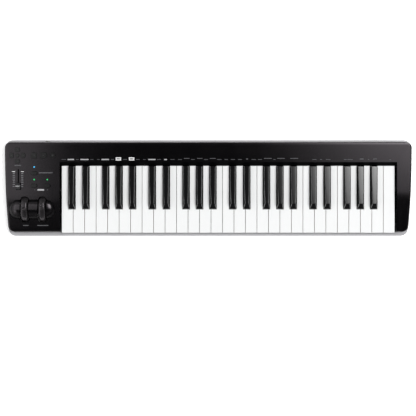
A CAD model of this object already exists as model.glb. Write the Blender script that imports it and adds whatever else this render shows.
import math
import bmesh
import bpy
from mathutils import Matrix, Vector


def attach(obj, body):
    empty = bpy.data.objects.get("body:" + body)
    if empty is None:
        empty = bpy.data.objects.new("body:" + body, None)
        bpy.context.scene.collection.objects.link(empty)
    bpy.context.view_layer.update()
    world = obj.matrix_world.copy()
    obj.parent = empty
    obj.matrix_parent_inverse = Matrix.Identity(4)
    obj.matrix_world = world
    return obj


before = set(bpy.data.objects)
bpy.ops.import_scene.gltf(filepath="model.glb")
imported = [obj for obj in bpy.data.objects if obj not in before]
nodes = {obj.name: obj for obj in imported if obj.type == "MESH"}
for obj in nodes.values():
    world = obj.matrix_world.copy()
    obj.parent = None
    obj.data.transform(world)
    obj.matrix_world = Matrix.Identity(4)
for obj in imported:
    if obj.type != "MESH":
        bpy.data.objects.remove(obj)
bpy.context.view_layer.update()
scene = bpy.context.scene
mm = 0.001
facing = 0.9     # a face whose normal goes this far along an axis faces that way
levelTop = 0.95  # a face that points this far up is a level top
print("frame:", len(nodes), "nodes")

# places taken from the frame, in millimetres

def boxOf(node):  # lowest and highest corner of a node
    corners = [vertex.co / mm for vertex in nodes[node].data.vertices]
    low = [min(c[i] for c in corners) for i in range(3)]
    high = [max(c[i] for c in corners) for i in range(3)]
    return low, high


(caseLeft, caseFront, _), (caseRight, caseRear, _) = boxOf("top_case")
bayGap = 3.5  # from the end keys to the case
bayLeft = boxOf("white_key_c2")[0][0] - bayGap
bayRight = boxOf("white_key_c6")[1][0] + bayGap
panel = {"top": 54.0, "bendY": caseFront + 73.0, "slope": 6.0}  # the slope is in degrees


def panelHeight(y):  # level at the rear, sloping down in front of the bend
    return panel["top"] - max(0.0, panel["bendY"] - y) * math.tan(math.radians(panel["slope"]))


# camera and light

cameraSetup = {  # millimetres, and the picture's width in pixels
    "over": (-0.6, -41.2), "keyTop": 45.0, "distance": 1900.0, "width": 851.0, "pixels": 416}
lightSetup = {  # places and sizes in metres, power in watts
    "right": {"at": (1.10, 1.05, 1.50), "size": (2.00, 2.20), "power": 100.0,
              "across": ((0.05, 0.0), (0.11, 0.10), (0.15, 0.22), (0.21, 0.46),
                         (0.31, 0.88), (0.40, 1.0), (0.70, 1.0), (1.0, 0.4)),
              "along": ((0.0, 0.10), (0.034, 0.15), (0.095, 0.33), (0.25, 0.80),
                        (0.40, 1.0), (0.85, 1.0), (1.0, 0.6))},
    "left": {"at": (-1.45, 0.60, 1.50), "size": (1.70, 1.76), "power": 12.0},
    "leftFront": {"at": (-1.85, -0.85, 1.50), "size": (1.00, 0.90), "power": 3.6},
    "keyLight": {"at": (10.00, 0.00, 20.00), "size": (12.40, 10.40), "power": 5320.0},
}
studio = {
    "wall": (0.20, 1.15),             # from the darkest wall to the brightest
    "wallTowards": (-1.0, 0.1, 0.0),  # the brightest wall is on the left
    "wallSpread": (0.1, 0.7),         # where the walls begin and end to brighten towards it
    "wallHeights": ((0.0, 0.15), (0.20, 0.5), (0.40, 1.0), (0.60, 1.0), (0.80, 0.25), (0.92, 0.0)),
    "ceiling": 0.03,                  # the ceiling above the camera is dark
    "floor": "#F6F6F6",
    "floorSize": 80.0,
    "floorGlow": (0.52, 0.85),        # near the object and far from it, so that the far floor is white too
    "floorNear": (0.9, 2.6),          # from where to where the glow grows
}


def linear(colour):  # sRGB hex to linear
    parts = [int(colour[i:i + 2], 16) / 255 for i in (1, 3, 5)]
    return tuple(c / 12.92 if c <= 0.04045 else ((c + 0.055) / 1.055) ** 2.4 for c in parts) + (1.0,)


def addNode(tree, kind, links=None, **settings):  # a node with its settings, values and links
    node = tree.nodes.new("ShaderNode" + kind)
    for name, value in settings.items():
        setattr(node, name, value)
    for socket, value in (links or {}).items():
        if isinstance(value, bpy.types.NodeSocket):
            tree.links.new(value, node.inputs[socket])
        else:
            node.inputs[socket].default_value = value
    return node


def setStops(ramp, stops):  # grey levels at places from 0 to 1
    elements = ramp.color_ramp.elements
    while len(elements) < len(stops):
        elements.new(0.5)
    for element, (place, level) in zip(elements, stops):
        element.position = place
        element.color = (level, level, level, 1)


def makeCamera():
    data = bpy.data.cameras.new("photoCamera")
    camera = bpy.data.objects.new("photoCamera", data)
    scene.collection.objects.link(camera)
    x, y = cameraSetup["over"]
    camera.location = (x * mm, y * mm, (cameraSetup["keyTop"] + cameraSetup["distance"]) * mm)
    data.angle = 2 * math.atan(cameraSetup["width"] / 2 / cameraSetup["distance"])  # looks straight down
    scene.camera = camera


def makeSoftbox(name, setup):
    data = bpy.data.lights.new(name, "AREA")
    data.shape = "RECTANGLE"
    data.size, data.size_y = setup["size"]
    data.energy = setup["power"]
    lamp = bpy.data.objects.new(name, data)
    scene.collection.objects.link(lamp)
    lamp.location = setup["at"]  # faces straight down
    if "across" in setup:  # the softbox fades towards its near edges
        data.use_nodes = True
        tree = data.node_tree
        tree.nodes.clear()
        place = addNode(tree, "NewGeometry").outputs["Parametric"]
        split = addNode(tree, "SeparateXYZ", {"Vector": place})
        across = addNode(tree, "ValToRGB", {"Fac": split.outputs["X"]})
        along = addNode(tree, "ValToRGB", {"Fac": split.outputs["Y"]})
        setStops(across, setup["across"])
        setStops(along, setup["along"])
        level = addNode(tree, "Math", {0: across.outputs["Color"], 1: along.outputs["Color"]},
                        operation="MULTIPLY")
        glow = addNode(tree, "Emission", {"Strength": level.outputs[0]})
        addNode(tree, "OutputLight", {"Surface": glow.outputs[0]})
    return lamp


def makeWalls():  # they mirror in the black parts and give a faint light
    world = bpy.data.worlds.new("studio")
    scene.world = world
    world.use_nodes = True
    tree = world.node_tree
    tree.nodes.clear()
    coord = addNode(tree, "TexCoord")
    split = addNode(tree, "SeparateXYZ", {"Vector": coord.outputs["Generated"]})
    height = addNode(tree, "ValToRGB", {"Fac": split.outputs["Z"]})
    setStops(height, studio["wallHeights"])
    side = addNode(tree, "VectorMath", {0: coord.outputs["Generated"], 1: studio["wallTowards"]},
                   operation="DOT_PRODUCT")
    (dark, bright), (begin, end) = studio["wall"], studio["wallSpread"]
    wall = addNode(tree, "MapRange", {"Value": side.outputs["Value"], "From Min": begin, "From Max": end,
                                      "To Min": dark, "To Max": bright})
    level = addNode(tree, "Math", {0: wall.outputs["Result"], 1: height.outputs["Color"]}, operation="MULTIPLY")
    level = addNode(tree, "Math", {0: level.outputs[0], 1: studio["ceiling"]}, operation="ADD")
    back = addNode(tree, "Background", {"Strength": level.outputs[0]})
    addNode(tree, "OutputWorld", {"Surface": back.outputs[0]})


def makeFloor():  # pale paper that glows white to the camera and in mirror images, and keeps the shadow
    bpy.ops.object.select_all(action="DESELECT")
    bpy.ops.mesh.primitive_plane_add(size=studio["floorSize"])
    floor = bpy.context.object
    floor.name = "floor"
    paper = bpy.data.materials.new("paperSweep")
    paper.use_nodes = True
    tree = paper.node_tree
    tree.nodes.clear()
    path = addNode(tree, "LightPath")
    seen = addNode(tree, "Math", {0: path.outputs["Is Camera Ray"], 1: path.outputs["Is Glossy Ray"]},
                   operation="MAXIMUM")
    seen = addNode(tree, "Math", {0: seen.outputs[0], 1: path.outputs["Is Transmission Ray"]},
                   operation="MAXIMUM")
    away = addNode(tree, "VectorMath", {0: addNode(tree, "TexCoord").outputs["Object"]}, operation="LENGTH")
    (near, far), (nearGlow, farGlow) = studio["floorNear"], studio["floorGlow"]
    white = addNode(tree, "MapRange", {"Value": away.outputs["Value"], "From Min": near, "From Max": far,
                                       "To Min": nearGlow, "To Max": farGlow})
    glow = addNode(tree, "Math", {0: seen.outputs[0], 1: white.outputs["Result"]}, operation="MULTIPLY")
    diffuse = addNode(tree, "BsdfDiffuse", {"Color": linear(studio["floor"])})
    emission = addNode(tree, "Emission", {"Color": (1, 1, 1, 1), "Strength": glow.outputs[0]})
    both = addNode(tree, "AddShader", {0: diffuse.outputs[0], 1: emission.outputs[0]})
    addNode(tree, "OutputMaterial", {"Surface": both.outputs[0]})
    floor.data.materials.append(paper)


scene.view_settings.view_transform = "Standard"
makeCamera()
for name in ("right", "left", "leftFront"):  # softboxes for the mirror images on the black parts
    makeSoftbox(name + "Softbox", lightSetup[name]).visible_diffuse = False
makeSoftbox("keyLight", lightSetup["keyLight"]).visible_glossy = False  # light on the keys, no mirror image
makeWalls()
makeFloor()
print("camera, lights and floor")


# materials

mixA, mixB, mixResult = 6, 7, 2  # a Mix node's sockets for colours


def newMaterial(name):
    made = bpy.data.materials.new(name)
    made.use_nodes = True
    tree = made.node_tree
    tree.nodes.clear()
    shader = addNode(tree, "BsdfPrincipled")
    addNode(tree, "OutputMaterial", {"Surface": shader.outputs[0]})
    place = addNode(tree, "TexCoord").outputs["Object"]
    return made, tree, shader, place


def perMetre(size):  # scale of a noise whose grains are that many millimetres wide
    return 1000.0 / size


plastic = {"driftDetail": 3.0, "driftRange": (0.3, 0.7), "grainDetail": 2.0, "bump": 0.35}


def mouldedPlastic(name, colours, roughness, grain, depth, cloud=35.0, shine=0.5):
    # injection-moulded plastic: a faint drift of colour and gloss, and the fine grain of the mould
    # grain, its depth and the cloud of the drift are in millimetres, the grain as coarse as it needs to show
    made, tree, shader, place = newMaterial(name)
    drift = addNode(tree, "TexNoise", {"Vector": place, "Scale": perMetre(cloud), "Detail": plastic["driftDetail"]})
    tint = addNode(tree, "Mix", {"Factor": drift.outputs["Fac"], mixA: linear(colours[0]), mixB: linear(colours[1])},
                   data_type="RGBA")
    tree.links.new(tint.outputs[mixResult], shader.inputs["Base Color"])
    fine = addNode(tree, "TexNoise", {"Vector": place, "Scale": perMetre(grain), "Detail": plastic["grainDetail"]})
    low, high = plastic["driftRange"]
    gloss = addNode(tree, "MapRange", {"Value": drift.outputs["Fac"], "From Min": low, "From Max": high,
                                       "To Min": roughness[0], "To Max": roughness[1]})
    tree.links.new(gloss.outputs["Result"], shader.inputs["Roughness"])
    bump = addNode(tree, "Bump", {"Height": fine.outputs["Fac"], "Strength": plastic["bump"],
                                  "Distance": depth * mm})
    tree.links.new(bump.outputs["Normal"], shader.inputs["Normal"])
    shader.inputs["Specular IOR Level"].default_value = shine
    return made


mask = {"weave": 4.0, "waver": 0.6, "roughness": 0.35}


def solderMask(name, colours):  # green lacquer over glass cloth: the weave shows through faintly
    made, tree, shader, place = newMaterial(name)
    weave = addNode(tree, "TexWave", {"Vector": place, "Scale": perMetre(mask["weave"]),
                                      "Distortion": mask["waver"]}, wave_type="BANDS")
    tint = addNode(tree, "Mix", {"Factor": weave.outputs["Fac"], mixA: linear(colours[0]), mixB: linear(colours[1])},
                   data_type="RGBA")
    tree.links.new(tint.outputs[mixResult], shader.inputs["Base Color"])
    shader.inputs["Roughness"].default_value = mask["roughness"]
    return made


steel = {"line": 20.0, "detail": 2.0}


def drawnSteel(name, colour, roughness, along=(1.0, 60.0, 60.0)):  # fine lines along the way it was drawn
    made, tree, shader, place = newMaterial(name)
    stretch = addNode(tree, "Mapping", {"Vector": place, "Scale": along})
    lines = addNode(tree, "TexNoise", {"Vector": stretch.outputs[0], "Scale": perMetre(steel["line"]),
                                       "Detail": steel["detail"]})
    gloss = addNode(tree, "MapRange", {"Value": lines.outputs["Fac"],
                                       "To Min": roughness[0], "To Max": roughness[1]})
    tree.links.new(gloss.outputs["Result"], shader.inputs["Roughness"])
    shader.inputs["Base Color"].default_value = linear(colour)
    shader.inputs["Metallic"].default_value = 1.0
    return made


epoxy = {"cloud": 0.8, "dimmest": 0.85, "brightest": 1.1, "roughness": 0.15}


def lampEpoxy(name, colour, glow):  # tinted clear epoxy, lit from inside
    made, tree, shader, place = newMaterial(name)
    cloud = addNode(tree, "TexNoise", {"Vector": place, "Scale": perMetre(epoxy["cloud"])})
    level = addNode(tree, "MapRange", {"Value": cloud.outputs["Fac"],
                                       "To Min": epoxy["dimmest"] * glow, "To Max": epoxy["brightest"] * glow})
    tree.links.new(level.outputs["Result"], shader.inputs["Emission Strength"])
    shader.inputs["Emission Color"].default_value = linear(colour)
    shader.inputs["Base Color"].default_value = linear(colour)
    shader.inputs["Roughness"].default_value = epoxy["roughness"]
    return made


inkFilm = {"patch": 0.9, "detail": 3.0, "roughness": 0.55}


def screenInk(name, colours):  # screen-printed ink: slightly uneven cover
    made, tree, shader, place = newMaterial(name)
    cover = addNode(tree, "TexNoise", {"Vector": place, "Scale": perMetre(inkFilm["patch"]),
                                       "Detail": inkFilm["detail"]})
    tint = addNode(tree, "Mix", {"Factor": cover.outputs["Fac"], mixA: linear(colours[0]), mixB: linear(colours[1])},
                   data_type="RGBA")
    tree.links.new(tint.outputs[mixResult], shader.inputs["Base Color"])
    shader.inputs["Roughness"].default_value = inkFilm["roughness"]
    return made


finish = {  # mouldedPlastic: colours, roughness, grain, depth, cloud, shine
    "upperAbs": mouldedPlastic("satinBlackAbs", ("#040405", "#050506"), (0.17, 0.21), 0.6, 0.02, 35.0),
    "fasciaAbs": mouldedPlastic("mattBlackAbs", ("#040405", "#050506"), (0.50, 0.58), 0.6, 0.02, 35.0, 0.05),
    "barrelFootAbs": mouldedPlastic("dullBlackAbs", ("#040405", "#050506"), (0.28, 0.34), 0.6, 0.02, 35.0, 0.15),
    "lowerAbs": mouldedPlastic("lightGreyAbs", ("#ACABAE", "#B3B2B5"), (0.42, 0.50), 0.5, 0.03),
    "keyWhite": mouldedPlastic("glossWhiteAcrylic", ("#F2F3F3", "#F5F6F6"), (0.16, 0.24), 1.5, 0.01, 22.0, 0.25),
    "keyWhiteSide": mouldedPlastic("satinWhiteAcrylic", ("#CFC8C2", "#D5CEC9"), (0.45, 0.55), 1.0, 0.01, 22.0, 0.2),
    "keyBlack": mouldedPlastic("polishedBlackKeyAbs", ("#0C0C0D", "#101011"), (0.08, 0.11), 0.5, 0.01, 12.0, 1.0),
    "keyBlackSide": mouldedPlastic("mattBlackKeyAbs", ("#0A0A0B", "#0E0E0F"), (0.55, 0.65), 0.5, 0.02, 12.0, 0.05),
    "chassisAbs": mouldedPlastic("darkGreyAbs", ("#34353A", "#3C3D41"), (0.5, 0.6), 0.6, 0.03),
    "wheelAbs": mouldedPlastic("satinCharcoalAbs", ("#191819", "#1F1E1F"), (0.26, 0.32), 0.5, 0.006, 9.0),
    "capAbs": mouldedPlastic("satinBlackCapAbs", ("#18181A", "#1F1F21"), (0.4, 0.48), 0.5, 0.03, 6.0),
    "padRubber": mouldedPlastic("blackSilicone", ("#060607", "#090909"), (0.20, 0.26), 0.4, 0.02, 7.0, 0.45),
    "padRim": mouldedPlastic("mattBlackSilicone", ("#030303", "#050505"), (0.6, 0.7), 0.4, 0.02, 7.0, 0.05),
    "footRubber": mouldedPlastic("blackFootRubber", ("#171718", "#1E1E20"), (0.7, 0.8), 0.5, 0.06, 5.0),
    "domeRubber": mouldedPlastic("greySilicone", ("#8A8A8C", "#949496"), (0.55, 0.65), 0.5, 0.03, 6.0),
    "socketNylon": mouldedPlastic("blackSocketNylon", ("#0C0C0D", "#111112"), (0.6, 0.7), 0.4, 0.02, 5.0, 0.1),
    "board": solderMask("greenSolderMask", ("#1F5B38", "#276944")),
    "rodSteel": drawnSteel("drawnSteel", "#BFC1C4", (0.22, 0.38)),
    "nickel": drawnSteel("nickelPlatedSteel", "#A19F9A", (0.22, 0.34), (8.0, 8.0, 8.0)),
    "zinc": drawnSteel("zincPlatedSteel", "#B4B7BB", (0.28, 0.42), (6.0, 6.0, 6.0)),
    "gold": drawnSteel("goldPlating", "#D6AE5A", (0.20, 0.32), (8.0, 8.0, 8.0)),
    "blueLamp": lampEpoxy("blueLampEpoxy", "#4FB2E6", 0.9),
    "greenLamp": lampEpoxy("greenLampEpoxy", "#33B266", 0.75),
    "inkWhite": screenInk("whiteScreenInk", ("#DEDEDE", "#EAEAEA")),
    "inkGrey": screenInk("greyScreenInk", ("#6E6E71", "#79797C")),
    "inkMid": screenInk("midGreyScreenInk", ("#4C4C4F", "#565659")),
    "inkDim": screenInk("dimScreenInk", ("#3A3A3D", "#444447")),
    "inkSoft": screenInk("softGreyScreenInk", ("#A6A6A8", "#B2B2B4")),
    "inkDark": screenInk("darkScreenInk", ("#4A4A4C", "#555557")),
    "inkFaint": screenInk("faintScreenInk", ("#161617", "#1D1D1E")),
}
glossTint = "#FFF5FD"                              # the gloss of the black case and wheels is faintly pink
keyPolish = {"Coat Weight": 1.0, "Coat IOR": 1.8}  # the tops of the black keys are polished


def shaderOf(material):
    return finish[material].node_tree.nodes["Principled BSDF"]


for name in ("upperAbs", "barrelFootAbs", "wheelAbs"):
    shaderOf(name).inputs["Specular Tint"].default_value = linear(glossTint)
for socket, value in keyPolish.items():
    shaderOf("keyBlack").inputs[socket].default_value = value
print("materials:", len(finish))


# CAD nodes: finishes and softened edges

edges = {  # width of the rounding in millimetres, and its steps
    "keys": {"width": 0.45, "segments": 2},
    "blackKeys": {"width": 0.8, "segments": 3},
    "cap": {"width": 0.35, "segments": 2},
    "rubber": {"width": 0.7, "segments": 3},
    "pads": {"width": 1.1, "segments": 3},
}
shading = {"weld": 0.005, "smoothTo": 28, "roundFrom": 40, "flatWeight": 90}  # angles in degrees


def smoothingGroup(limit):  # welds the loose triangles and shades smooth up to a limit angle
    group = bpy.data.node_groups.new("smoothToAngle", "GeometryNodeTree")
    group.interface.new_socket("Geometry", in_out="INPUT", socket_type="NodeSocketGeometry")
    group.interface.new_socket("Geometry", in_out="OUTPUT", socket_type="NodeSocketGeometry")
    start = group.nodes.new("NodeGroupInput")
    end = group.nodes.new("NodeGroupOutput")
    weld = group.nodes.new("GeometryNodeMergeByDistance")
    weld.inputs["Distance"].default_value = shading["weld"] * mm
    angle = group.nodes.new("GeometryNodeInputMeshEdgeAngle")
    sharp = group.nodes.new("FunctionNodeCompare")
    sharp.operation = "GREATER_THAN"
    sharp.inputs["B"].default_value = math.radians(limit)
    faces = group.nodes.new("GeometryNodeSetShadeSmooth")
    lines = group.nodes.new("GeometryNodeSetShadeSmooth")
    lines.domain = "EDGE"
    lines.inputs["Shade Smooth"].default_value = False
    group.links.new(start.outputs[0], weld.inputs["Geometry"])
    group.links.new(weld.outputs["Geometry"], faces.inputs["Geometry"])
    group.links.new(faces.outputs["Geometry"], lines.inputs["Geometry"])
    group.links.new(angle.outputs["Unsigned Angle"], sharp.inputs["A"])
    group.links.new(sharp.outputs["Result"], lines.inputs["Selection"])
    group.links.new(lines.outputs["Geometry"], end.inputs[0])
    return group


smoothing = smoothingGroup(shading["smoothTo"])


def dress(node, material, soften=None):
    obj = nodes[node]
    obj.data.materials.clear()
    obj.data.materials.append(finish[material])
    if soften:
        weld = obj.modifiers.new("weld", "WELD")
        weld.merge_threshold = shading["weld"] * mm
        bevel = obj.modifiers.new("softEdges", "BEVEL")
        bevel.width = edges[soften]["width"] * mm
        bevel.segments = edges[soften]["segments"]
        bevel.limit_method = "ANGLE"
        bevel.angle_limit = math.radians(shading["roundFrom"])
    shade = obj.modifiers.new("smoothToAngle", "NODES")
    shade.node_group = smoothing
    flat = obj.modifiers.new("flatFaces", "WEIGHTED_NORMAL")  # large flat faces mirror as flat
    flat.keep_sharp = True
    flat.weight = shading["flatWeight"]
    return obj


blackKeySlant = 0.5  # the slanted edges along a black key's top point this far up and aside
for node in nodes:
    if node.startswith("white_key"):
        key = dress(node, "keyWhite", "keys").data
        key.materials.append(finish["keyWhiteSide"])
        for face in key.polygons:  # the sides come from the mould unpolished
            face.material_index = 1 if abs(face.normal.x) > facing else 0
    elif node.startswith("black_key"):
        obj = dress(node, "keyBlack", "blackKeys")
        rounding = obj.modifiers["softEdges"]
        rounding.material = 0  # the rounded edges are polished
        rounding.use_clamp_overlap = False  # they keep their width beside narrow faces
        obj.data.materials.append(finish["keyBlackSide"])
        for face in obj.data.polygons:  # polished top and slanted edges, matt sides and front
            up, aside = face.normal.z, abs(face.normal.x)
            polished = up > levelTop or min(up, aside) > blackKeySlant
            face.material_index = 0 if polished else 1

fascia = {"behind": 0.0, "leans": -0.2}    # matt over the keys, so that it doesn't mirror them
barrelFoot = {"above": 0.2, "steep": 0.8}  # duller where it is steep, because the low studio would show there
upper = dress("top_case", "upperAbs").data
upper.materials.append(finish["fasciaAbs"])
upper.materials.append(finish["barrelFootAbs"])
for face in upper.polygons:
    spot = face.center / mm
    overKeys = bayLeft < spot.x < bayRight and spot.y > fascia["behind"]
    onBarrel = spot.x < bayLeft and spot.z > panelHeight(spot.y) + barrelFoot["above"]
    if overKeys and face.normal.y < fascia["leans"]:
        face.material_index = 1
    elif onBarrel and face.normal.z < barrelFoot["steep"]:
        face.material_index = 2

dress("bottom_case", "lowerAbs")
dress("key_chassis", "chassisAbs")
dress("pivot_rod", "rodSteel")
dress("rubber_feet", "footRubber", "rubber")
dress("pitch_wheel", "wheelAbs")
dress("mod_wheel", "wheelAbs")
dress("volume_slider", "capAbs", "cap")
for node in ("control_keypad", "octave_keypad"):
    pads = dress(node, "padRubber", "pads")
    pads.data.materials.append(finish["padRim"])
    pads.modifiers["softEdges"].material = 1  # the rounded rims are matt
    for face in pads.data.polygons:
        face.material_index = 0 if face.normal.z > levelTop else 1
boards = dress("circuit_boards", "board")

boardParts = (  # what stands on the boards: finish, lowest and highest corner in millimetres
    # rubber contact strip, USB socket, pedal socket, body of the slider
    ("domeRubber", (bayLeft + 2, caseRear - 98, 15.45), (bayRight - 2, caseRear - 75, 20)),
    ("nickel", (caseLeft + 51, caseRear - 16, 29.65), (caseLeft + 65, caseRear + 2, 41)),
    ("socketNylon", (caseLeft + 78, caseRear - 25, 29.65), (caseLeft + 94, caseRear + 3, 42)),
    ("socketNylon", (caseLeft + 24, caseRear - 99, 45.55), (caseLeft + 34, caseRear - 50, 52)),
)
for index, (material, low, high) in enumerate(boardParts, 1):
    boards.data.materials.append(finish[material])
    for face in boards.data.polygons:
        spot = face.center / mm
        if all(a <= c <= b for a, c, b in zip(low, spot, high)):
            face.material_index = index
print("CAD nodes dressed")


# new pieces

def alone(obj):  # selects one object only
    bpy.ops.object.select_all(action="DESELECT")
    obj.select_set(True)
    bpy.context.view_layer.objects.active = obj


def finished(obj, name, material, body):  # place goes into the mesh, then the piece rides on its body
    alone(obj)
    bpy.ops.object.transform_apply(location=True, rotation=True, scale=True)
    obj.name = name
    obj.data.name = name
    obj.data.materials.clear()
    obj.data.materials.append(finish[material])
    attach(obj, body)
    return obj


def joined(parts, name, material, body):
    bpy.ops.object.select_all(action="DESELECT")
    for part in parts:
        part.select_set(True)
    bpy.context.view_layer.objects.active = parts[0]
    if len(parts) > 1:
        bpy.ops.object.join()
    return finished(bpy.context.object, name, material, body)


def selectOnly(obj, kind, test):  # in edit mode: the faces or edges that pass a test
    bpy.ops.mesh.select_mode(type=kind)
    bpy.ops.mesh.select_all(action="DESELECT")
    mesh = bmesh.from_edit_mesh(obj.data)
    for item in mesh.faces if kind == "FACE" else mesh.edges:
        if test(item):
            item.select_set(True)
    mesh.select_flush_mode()
    bmesh.update_edit_mesh(obj.data)


ink = {"thick": 0.04, "corner": 0.35, "cornerShare": 0.3, "cornerSteps": 3,
       "sides": {"disc": 24, "arrow": 3}}


def inkSheet(outline, at, size, tilt=0.0, turn=0.0):  # one printed mark: a thin sheet with rounded corners
    bpy.ops.object.select_all(action="DESELECT")
    spot = (at[0] * mm, at[1] * mm, at[2] * mm)
    if outline == "bar":
        bpy.ops.mesh.primitive_plane_add(size=1, location=spot)
    else:
        bpy.ops.mesh.primitive_circle_add(vertices=ink["sides"][outline], radius=0.5, fill_type="NGON",
                                          location=spot)
    mark = bpy.context.object
    bpy.ops.object.mode_set(mode="EDIT")
    bpy.ops.mesh.select_all(action="SELECT")
    bpy.ops.transform.resize(value=(size[0] * mm, size[1] * mm, 1), center_override=spot)
    if outline != "disc":
        corner = min(ink["corner"], ink["cornerShare"] * min(size)) * mm
        bpy.ops.mesh.bevel(offset=corner, segments=ink["cornerSteps"], affect="VERTICES")
    bpy.ops.object.mode_set(mode="OBJECT")
    mark.rotation_euler = (math.radians(tilt), 0, math.radians(turn))
    return mark


def printed(marks, name, material, body):  # the sheets become one thin layer of ink
    obj = joined(marks, name, material, body)
    layer = obj.modifiers.new("layer", "SOLIDIFY")
    layer.thickness = ink["thick"] * mm
    layer.offset = 1.0
    alone(obj)
    bpy.ops.object.modifier_apply(modifier="layer")
    return obj


def onPanel(px, py):  # a point of the photo's panel in millimetres
    away = 1 - (panel["top"] - cameraSetup["keyTop"]) / cameraSetup["distance"]
    pixel = away * cameraSetup["width"] / cameraSetup["pixels"]
    middle = cameraSetup["pixels"] / 2
    return cameraSetup["over"][0] + (px - middle) * pixel, cameraSetup["over"][1] + (middle - py) * pixel


def panelBar(x0, x1, py, height, lift=0.0):  # a bar between two photo columns, on the level panel
    (left, y), (right, y) = onPanel(x0, py), onPanel(x1, py)
    return inkSheet("bar", ((left + right) / 2, y, panel["top"] + lift), (right - left, height))


legend = {  # photo columns of each mark, its photo row and its height in millimetres
    "boxes": ((67.6, 74.0), (80.3, 88.6), (101.5, 109.0), (148.2, 155.4), (164.1, 166.9)),
    "boxRow": (159.5, 2.4),
    "tallBoxes": ((115.7, 121.1), (128.9, 134.3)),
    "tallRow": (158.9, 6.4),
    "tallCentre": (1.0, 2.2, 1.5),  # inset in photo columns, height, lift in layers of ink
    "dashes": ((61.5, 66.0), (76.0, 78.7), (90.2, 93.5), (97.0, 99.7), (111.0, 114.0), (123.0, 127.0),
               (136.0, 139.7), (143.0, 145.8), (157.0, 160.8), (170.5, 174.5), (178.0, 182.0), (191.0, 194.8),
               (204.0, 208.0), (217.0, 221.5), (224.5, 228.0), (230.8, 235.0), (238.0, 242.0), (251.5, 256.0),
               (258.0, 262.0), (273.5, 275.5), (312.3, 316.5), (320.0, 322.0), (326.0, 330.5), (344.0, 352.5),
               (367.8, 369.2), (389.4, 391.2)),
    "dashRow": (159.5, 1.4),
    "raised": ((183.8, 189.5), (197.0, 202.5), (209.8, 215.6), (264.0, 271.8), (277.2, 284.8), (290.3, 298.2)),
    "raisedRow": (158.4, 1.6),
    "squares": ((246.0, 248.0), (360.0, 363.6), (373.4, 376.6)),
    "squareRow": (159.0, 2.6),
    "labels": ((14.4, 21.2, 165.4, 2.0), (38.7, 52.4, 172.8, 2.2)),
    "octaveBox": (37.5, 44.0, 189.85, 3.4),
    "ticks": {"count": 9, "wide": ((12.0, 15.1), (20.9, 23.8)),
              "columns": ((12.7, 14.9), (21.1, 23.3)), "first": 171.6, "last": 186.5, "height": 1.2},
    "wheelLabels": ((22.3, 28.0), (36.8, 48.0)),
    "wheelLabelRow": (225.5, 1.7),
    "signs": ((34.6, 1), (47.4, 2)),  # minus and plus beside the octave box
    "signRow": 189.75,
    "signSize": (2.6, 0.8),
}


def row(columns, place):
    return [panelBar(x0, x1, *place) for x0, x1 in columns]


softMarks = row(legend["boxes"], legend["boxRow"]) + [panelBar(*legend["octaveBox"])]
tallMarks = row(legend["tallBoxes"], legend["tallRow"])
inset, centreHeight, layers = legend["tallCentre"]
darkMarks = [panelBar(x0 + inset, x1 - inset, legend["tallRow"][0], centreHeight, layers * ink["thick"])
             for x0, x1 in legend["tallBoxes"]]
midMarks = [panelBar(*bar) for bar in legend["labels"]]
greyMarks = []
dimMarks = (row(legend["dashes"], legend["dashRow"]) + row(legend["raised"], legend["raisedRow"])
            + row(legend["squares"], legend["squareRow"]))
ticks = legend["ticks"]
for i in range(ticks["count"]):
    py = ticks["first"] + (ticks["last"] - ticks["first"]) * i / (ticks["count"] - 1)
    for x0, x1 in ticks["wide" if i == 0 else "columns"]:  # the first tick is wide and white
        (tallMarks if i == 0 else greyMarks).append(panelBar(x0, x1, py, ticks["height"]))
labelRow, labelHeight = legend["wheelLabelRow"]
for x0, x1 in legend["wheelLabels"]:  # on the slope in front of the bend
    (left, y), (right, y) = onPanel(x0, labelRow), onPanel(x1, labelRow)
    at = ((left + right) / 2, y, panelHeight(y))
    midMarks.append(inkSheet("bar", at, (right - left, labelHeight), panel["slope"]))
long, thin = legend["signSize"]
for px, bars in legend["signs"]:
    x, y = onPanel(px, legend["signRow"])
    for size in ((long, thin), (thin, long))[:bars]:
        midMarks.append(inkSheet("bar", (x, y, panel["top"]), size))
printed(softMarks, "printedBoxes", "inkSoft", "case")
printed(tallMarks, "printedTallBoxes", "inkWhite", "case")
printed(darkMarks, "printedBoxCentres", "inkDark", "case")
printed(greyMarks, "printedScales", "inkGrey", "case")
printed(midMarks, "printedLabels", "inkMid", "case")
printed(dimMarks, "printedDashes", "inkDim", "case")
marks = (softMarks, tallMarks, darkMarks, greyMarks, midMarks, dimMarks)
print("panel print:", sum(len(group) for group in marks), "marks")

lamps = {"radius": 1.45, "proud": 0.7, "depth": 3.0, "sunk": 0.05, "sides": 24, "rings": 12, "smoothTo": 40,
         "places": (("powerLamp", "blueLamp", 51.6, 51.4),  # from the key bay and from the case's rear
                    ("octaveDownLamp", "greenLamp", 51.6, 77.0),
                    ("octaveUpLamp", "greenLamp", 25.0, 77.0))}


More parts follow.
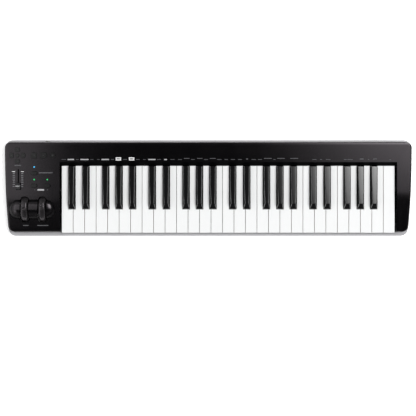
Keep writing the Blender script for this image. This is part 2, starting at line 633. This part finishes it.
def makeLamp(name, material, x, y):  # a domed lens on a short stem in its hole
    bpy.ops.object.select_all(action="DESELECT")
    at = Vector((x, y, panel["top"] - lamps["sunk"])) * mm
    bpy.ops.mesh.primitive_uv_sphere_add(segments=lamps["sides"], ring_count=lamps["rings"],
                                         radius=lamps["radius"] * mm, location=at)
    lens = bpy.context.object
    bpy.ops.object.mode_set(mode="EDIT")
    bpy.ops.mesh.select_all(action="SELECT")
    bpy.ops.mesh.bisect(plane_co=at, plane_no=(0, 0, 1), clear_inner=True, use_fill=True)
    bpy.ops.mesh.select_all(action="SELECT")
    bpy.ops.transform.resize(value=(1, 1, lamps["proud"] / lamps["radius"]), center_override=at)
    selectOnly(lens, "FACE", lambda f: f.normal.z < -facing)
    bpy.ops.mesh.extrude_region_move(TRANSFORM_OT_translate={"value": (0, 0, -lamps["depth"] * mm)})
    bpy.ops.mesh.select_all(action="SELECT")
    bpy.ops.mesh.normals_make_consistent(inside=False)
    bpy.ops.object.mode_set(mode="OBJECT")
    alone(lens)
    bpy.ops.object.shade_smooth_by_angle(angle=math.radians(lamps["smoothTo"]))
    finished(lens, name, material, "case")


for name, material, fromBay, fromRear in lamps["places"]:
    makeLamp(name, material, bayLeft - fromBay, caseRear - fromRear)
print("lamps:", len(lamps["places"]))

symbols = {  # plain marks on the rubber keys
    "fromLeft": 26.8, "fromRear": 27.8, "dot": 2.2,
    "arrowStep": 12.0, "arrow": 3.4, "arrows": ((0, 1, 0), (-1, 0, 90), (0, -1, 180), (1, 0, 270)),  # way, turn
    "fromBay": 51.8, "step": 18.9,
    "transport": (("bar", 3.4, 0), ("arrow", 4.0, 270), ("disc", 3.4, 0))}  # outline, size, turn
padX, padY = caseLeft + symbols["fromLeft"], caseRear - symbols["fromRear"]
padTop = boxOf("control_keypad")[1][2]
keyMarks = [inkSheet("disc", (padX, padY, padTop), (symbols["dot"], symbols["dot"]))]
for dx, dy, turn in symbols["arrows"]:
    at = (padX + dx * symbols["arrowStep"], padY + dy * symbols["arrowStep"], padTop)
    keyMarks.append(inkSheet("arrow", at, (symbols["arrow"], symbols["arrow"]), 0.0, turn))
for i, (outline, size, turn) in enumerate(symbols["transport"]):
    at = (bayLeft - symbols["fromBay"] + i * symbols["step"], padY, padTop)
    keyMarks.append(inkSheet(outline, at, (size, size), 0.0, turn))
printed(keyMarks, "keypadSymbols", "inkFaint", "control_keypad")

sliderLine = {"size": (8.2, 1.3), "lift": 0.03, "fall": 2.2, "lean": 0.5, "edge": 0.4}


def makeSliderLine():  # a strip of paint over the ridge of the cap and down both its sides
    low, high = boxOf("volume_slider")
    at = Vector(((low[0] + high[0]) / 2, (low[1] + high[1]) / 2, high[2] + sliderLine["lift"])) * mm
    long, wide = (v * mm for v in sliderLine["size"])
    bpy.ops.object.select_all(action="DESELECT")
    bpy.ops.mesh.primitive_plane_add(size=1, location=at)
    strip = bpy.context.object
    bpy.ops.object.mode_set(mode="EDIT")
    bpy.ops.transform.resize(value=(long, wide, 1), center_override=at)
    beyond, level = sliderLine["edge"] * wide, -0.001 * mm  # only the long edge of that side, still on the ridge
    for side in (-1, 1):
        selectOnly(strip, "EDGE", lambda e: all(v.co.y * side > beyond and v.co.z > level for v in e.verts))
        fall = (0, side * sliderLine["lean"] * mm, -sliderLine["fall"] * mm)
        bpy.ops.mesh.extrude_edges_move(TRANSFORM_OT_translate={"value": fall})
    bpy.ops.mesh.select_all(action="SELECT")
    bpy.ops.mesh.normals_make_consistent(inside=False)
    bpy.ops.object.mode_set(mode="OBJECT")
    printed([strip], "sliderLine", "inkSoft", "volume_slider")


makeSliderLine()
print("keypad symbols and slider line")

screws = {"radius": 3.0, "head": 2.2, "dome": 0.9, "domeSteps": 4, "seat": 6.5, "sides": 32, "smoothTo": 35,
          "shank": 1.5, "reach": 6.0, "taper": 0.8, "cross": (3.4, 0.9, 1.2),
          "rearCount": 5, "rearIn": 30.0, "fromRear": 6.5, "blockFromRear": 50.5, "in": 10.5, "cornerIn": 22.5}


def makeScrew():  # a domed head with a cross recess, its point up in the boss
    bpy.ops.object.select_all(action="DESELECT")
    middle = (0, 0, (screws["seat"] - screws["head"] / 2) * mm)
    bpy.ops.mesh.primitive_cylinder_add(vertices=screws["sides"], radius=screws["radius"] * mm,
                                        depth=screws["head"] * mm, location=middle)
    screw = bpy.context.object
    bpy.ops.object.mode_set(mode="EDIT")
    selectOnly(screw, "FACE", lambda f: f.normal.z < -facing)
    bpy.ops.mesh.bevel(offset=screws["dome"] * mm, segments=screws["domeSteps"])
    selectOnly(screw, "FACE", lambda f: f.normal.z > facing)
    bpy.ops.mesh.inset(thickness=(screws["radius"] - screws["shank"]) * mm)
    bpy.ops.mesh.extrude_region_move(TRANSFORM_OT_translate={"value": (0, 0, screws["reach"] * mm)})
    bpy.ops.transform.resize(value=(screws["taper"], screws["taper"], 1))
    bpy.ops.object.mode_set(mode="OBJECT")
    foot = (0, 0, (screws["seat"] - screws["head"]) * mm)
    long, wide, deep = (v * mm for v in screws["cross"])
    for size in ((long, wide), (wide, long)):
        bpy.ops.object.select_all(action="DESELECT")
        bpy.ops.mesh.primitive_cube_add(size=1, location=foot)
        cutter = bpy.context.object
        cutter.scale = (size[0], size[1], 2 * deep)  # half of it stands below the head
        cut = screw.modifiers.new("recess", "BOOLEAN")
        cut.object = cutter
        alone(screw)
        bpy.ops.object.modifier_apply(modifier="recess")
        bpy.data.objects.remove(cutter)
    alone(screw)
    bpy.ops.object.shade_smooth_by_angle(angle=math.radians(screws["smoothTo"]))
    return screw


def copies(first, places):  # one copy of a piece at each place, each with its own mesh
    made = []
    for x, y in places:
        alone(first)
        bpy.ops.object.duplicate()
        bpy.ops.transform.translate(value=(x * mm, y * mm, 0))
        made.append(bpy.context.object)
    bpy.data.objects.remove(first)
    return made


stepX = (caseRight - caseLeft - 2 * screws["rearIn"]) / screws["rearCount"]
screwPlaces = [(caseLeft + screws["rearIn"] + stepX * (i + 1), caseRear - screws["fromRear"])
               for i in range(screws["rearCount"])]
screwPlaces.append((caseLeft + screws["in"], caseRear - screws["blockFromRear"]))
for x in (caseLeft + screws["cornerIn"], bayLeft - screws["in"], bayRight + screws["in"]):
    screwPlaces.append((x, caseFront + screws["in"]))
joined(copies(makeScrew(), screwPlaces), "caseScrews", "zinc", "case")
print("screws:", len(screwPlaces))

usb = {"at": (caseLeft + 58.0, caseRear + 0.7, 35.1), "mouth": (8.5, 8.9, 7.7), "skin": 0.3, "chamfer": 1.5,
       "darkFrom": 0.5, "tongue": (5.6, 7.4, 3.1), "tongueEdge": 0.3,
       "contact": (1.0, 6.2, 0.3), "contactX": (-1.25, 1.25), "contactIn": 0.6, "contactEdge": 0.08}


def shapedBox(middle, size):  # a box in edit mode
    bpy.ops.object.select_all(action="DESELECT")
    bpy.ops.mesh.primitive_cube_add(size=1, location=[v * mm for v in middle])
    obj = bpy.context.object
    obj.scale = [v * mm for v in size]
    bpy.ops.object.transform_apply(location=False, rotation=False, scale=True)
    bpy.ops.object.mode_set(mode="EDIT")
    return obj


def roundedBox(middle, size, edge, steps):  # a box with all its edges rounded
    obj = shapedBox(middle, size)
    bpy.ops.mesh.select_all(action="SELECT")
    bpy.ops.mesh.bevel(offset=edge * mm, segments=steps)
    bpy.ops.object.mode_set(mode="OBJECT")
    return obj


def topAlong(edge):  # runs from front to rear along the top
    a, b = edge.verts
    return a.co.z > 0 and b.co.z > 0 and a.co.y * b.co.y < 0


def makeUsb():  # an open shell with chamfered upper corners, a tongue and four contacts
    x, y, z = usb["at"]
    deep = usb["mouth"][1]
    shell = shapedBox((x, y - deep / 2, z), usb["mouth"])
    selectOnly(shell, "EDGE", topAlong)
    bpy.ops.mesh.bevel(offset=usb["chamfer"] * mm, segments=1)
    selectOnly(shell, "FACE", lambda f: f.normal.y > facing)
    bpy.ops.mesh.delete(type="FACE")
    bpy.ops.object.mode_set(mode="OBJECT")
    skin = shell.modifiers.new("skin", "SOLIDIFY")
    skin.thickness = usb["skin"] * mm
    skin.offset = -1.0
    alone(shell)
    bpy.ops.object.modifier_apply(modifier="skin")
    finished(shell, "usbShell", "nickel", "case")
    shell.data.materials.append(finish["socketNylon"])
    mouth = Vector((x, y, z)) * mm
    for face in shell.data.polygons:  # dark inside
        inwards = (mouth - face.center).dot(face.normal)
        face.material_index = 1 if inwards > usb["darkFrom"] * mm else 0

    tongueAt = (x, y - deep + usb["tongue"][1] / 2 + usb["skin"], z)
    finished(roundedBox(tongueAt, usb["tongue"], usb["tongueEdge"], 2), "usbTongue", "socketNylon", "case")

    strips = []
    for side in (-1, 1):
        for dx in usb["contactX"]:
            at = (x + dx, y - deep + usb["contact"][1] / 2 + usb["contactIn"], z + side * usb["tongue"][2] / 2)
            strips.append(roundedBox(at, usb["contact"], usb["contactEdge"], 1))
    joined(strips, "usbContacts", "gold", "case")


makeUsb()

pedalRing = {"at": (caseLeft + 86.0, caseRear + 1.9, 35.6), "outer": 5.0, "hole": 3.4, "thick": 0.8, "edge": 0.2,
             "sides": 48, "smoothTo": 35}


def makePedalRing():  # the plated ring round the mouth of the pedal socket
    bpy.ops.object.select_all(action="DESELECT")
    at = [v * mm for v in pedalRing["at"]]
    bpy.ops.mesh.primitive_cylinder_add(vertices=pedalRing["sides"], radius=pedalRing["outer"] * mm,
                                        depth=pedalRing["thick"] * mm, location=at,
                                        rotation=(math.radians(90), 0, 0))
    ring = bpy.context.object
    bpy.ops.object.mode_set(mode="EDIT")
    selectOnly(ring, "FACE", lambda f: abs(f.normal.z) > facing)
    bpy.ops.mesh.bevel(offset=pedalRing["edge"] * mm, segments=2)
    selectOnly(ring, "FACE", lambda f: abs(f.normal.z) > facing and len(f.verts) == pedalRing["sides"])
    bpy.ops.mesh.inset(thickness=(pedalRing["outer"] - pedalRing["edge"] - pedalRing["hole"]) * mm)
    bpy.ops.mesh.bridge_edge_loops()  # the two ends become one bore
    bpy.ops.object.mode_set(mode="OBJECT")
    alone(ring)
    bpy.ops.object.shade_smooth_by_angle(angle=math.radians(pedalRing["smoothTo"]))
    finished(ring, "pedalRing", "nickel", "case")


makePedalRing()
print("sockets: USB shell, tongue and contacts, pedal ring")

# nothing is left selected, and the sizes are kept for comparison
bpy.ops.object.select_all(action="DESELECT")
